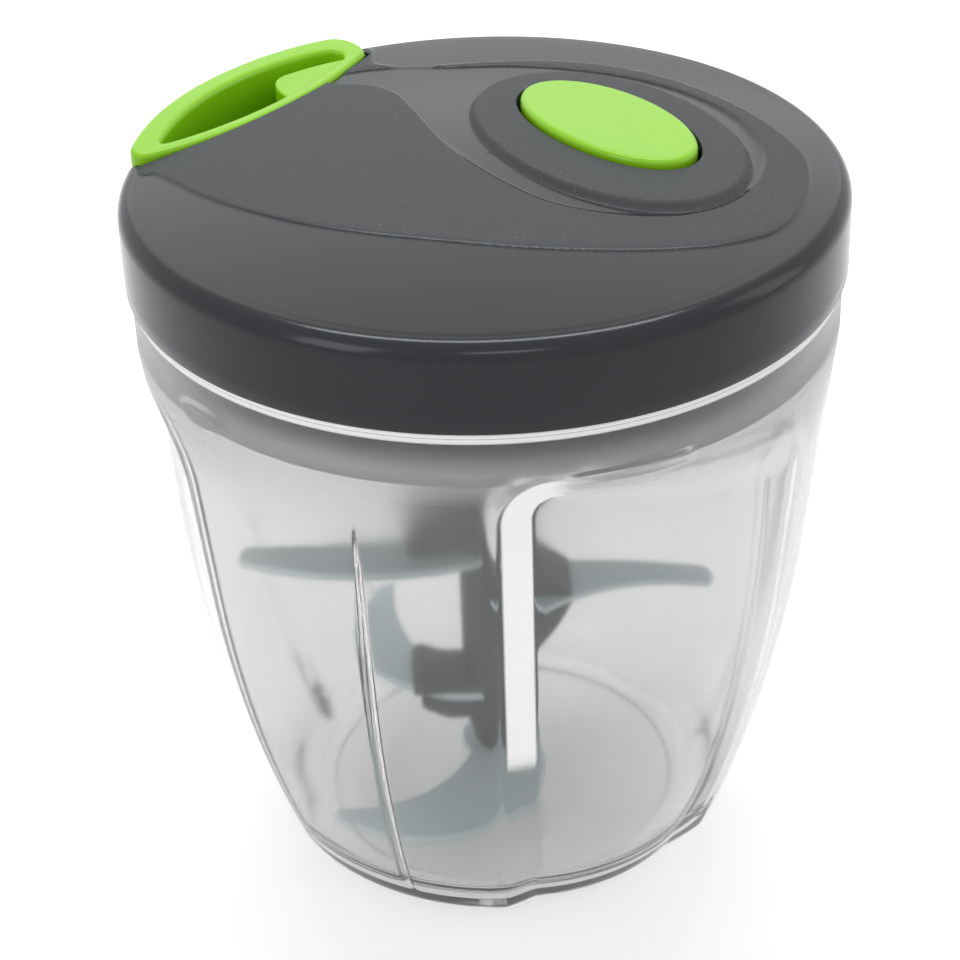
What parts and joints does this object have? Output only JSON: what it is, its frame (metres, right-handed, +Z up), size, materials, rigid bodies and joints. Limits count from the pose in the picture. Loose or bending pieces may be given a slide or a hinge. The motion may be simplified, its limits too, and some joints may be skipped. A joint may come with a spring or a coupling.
{
  "type": "pull cord food chopper",
  "caption": "Hand chopper: a clear tapered bowl with flat grip panels, a domed lid with a rim pull handle and oval button, and a spindle of curved blades driven by a cord drum.",
  "frame": {"origin": "centre of the base, on the surface that the bowl stands on", "axes": "+Z up along the bowl's axis; -Y towards the viewer of the picture; the pull handle leaves at 140 degrees from +X towards +Y"},
  "size_m": [0.134, 0.134, 0.1464],
  "materials": {
    "clear_plastic": "clear, polished",
    "lid_charcoal": "charcoal, with a fine textured band",
    "lid_inner_grey": "charcoal, smooth",
    "lime_plastic": "lime green, satin",
    "seal_rubber": "soft",
    "screw_steel": "plated",
    "pin_steel": "ground",
    "spring_steel": "rolled",
    "blade_steel": "satin, with ground edges",
    "spindle_grey": "dark grey, satin",
    "mechanism_white": "natural",
    "cord_white": "braided"
  },
  "bodies": {
    "bowl": {"bowl": "clear_plastic", "pivot_pin": "pin_steel"},
    "lid_carrier": {"rim_seal": "seal_rubber"},
    "lid": {"lid_cover": "lid_charcoal", "lid_inner_cover": "lid_inner_grey", "bearing_plate": "mechanism_white", "plate_screws": "screw_steel", "cover_screws": "screw_steel", "cord_eyelet": "pin_steel", "shaft_seal": "seal_rubber", "button_spring": "spring_steel"},
    "handle": {"pull_handle": "lime_plastic", "cord_bead": "cord_white", "cord_run": "cord_white"},
    "drum": {"cord_drum": "mechanism_white", "spring_cap": "mechanism_white", "recoil_spring": "spring_steel", "cord_winding": "cord_white", "pawl_pin_front": "pin_steel", "pawl_pin_back": "pin_steel"},
    "pawl_front": {"pawl_front": "mechanism_white"},
    "pawl_back": {"pawl_back": "mechanism_white"},
    "hub": {"drive_hub": "mechanism_white"},
    "spindle": {"spindle": "spindle_grey", "spindle_bush": "pin_steel", "blade_top": "blade_steel", "blade_upper": "blade_steel", "blade_middle": "blade_steel", "blade_low": "blade_steel"},
    "button": {"button": "lime_plastic", "vent_valve": "seal_rubber"}
  },
  "joints": [
    {"name": "lid_lift", "type": "slide", "parent": "bowl", "child": "lid_carrier", "axis": [0, 0, 1], "range_m": [0, 0.1]},
    {"name": "lid_twist", "type": "hinge", "parent": "lid_carrier", "child": "lid", "pos_m": [0, 0, 0.1236], "axis": [0, 0, 1], "range_deg": [-22.5, 0]},
    {"name": "handle_pull", "type": "slide", "parent": "lid", "child": "handle", "axis": [-0.766, 0.6428, 0], "range_m": [0, 0.36], "stiffness_N_per_m": 5, "springref_m": -0.6},
    {"name": "drum_spin", "type": "hinge", "parent": "lid_carrier", "child": "drum", "pos_m": [0, 0, 0.13], "axis": [0, 0, 1], "range_deg": [0, 1150]},
    {"name": "pawl_front_swing", "type": "hinge", "parent": "drum", "child": "pawl_front", "pos_m": [0.009, 0, 0.125], "axis": [0, 0, -1], "range_deg": [0, 20]},
    {"name": "pawl_back_swing", "type": "hinge", "parent": "drum", "child": "pawl_back", "pos_m": [-0.009, 0, 0.125], "axis": [0, 0, -1], "range_deg": [0, 20]},
    {"name": "hub_spin", "type": "hinge", "parent": "lid_carrier", "child": "hub", "pos_m": [0, 0, 0.12], "axis": [0, 0, 1], "range_deg": [0, 1150]},
    {"name": "spindle_spin", "type": "hinge", "parent": "bowl", "child": "spindle", "pos_m": [0, 0, 0.01], "axis": [0, 0, 1], "range_deg": [0, 1150]},
    {"name": "button_press", "type": "slide", "parent": "lid", "child": "button", "axis": [0, 0, -1], "range_m": [0, 0.003], "stiffness_N_per_m": 400, "springref_m": -0.002, "deforming": ["button_spring"]}
  ],
  "couplings": [
    {"joint": "drum_spin", "follows": "handle_pull", "rad_per_m": 55.556},
    {"joint": "hub_spin", "follows": "handle_pull", "rad_per_m": 55.556},
    {"joint": "spindle_spin", "follows": "handle_pull", "rad_per_m": 55.556},
    {"joint": "pawl_back_swing", "follows": "pawl_front_swing", "ratio": 1}
  ]
}
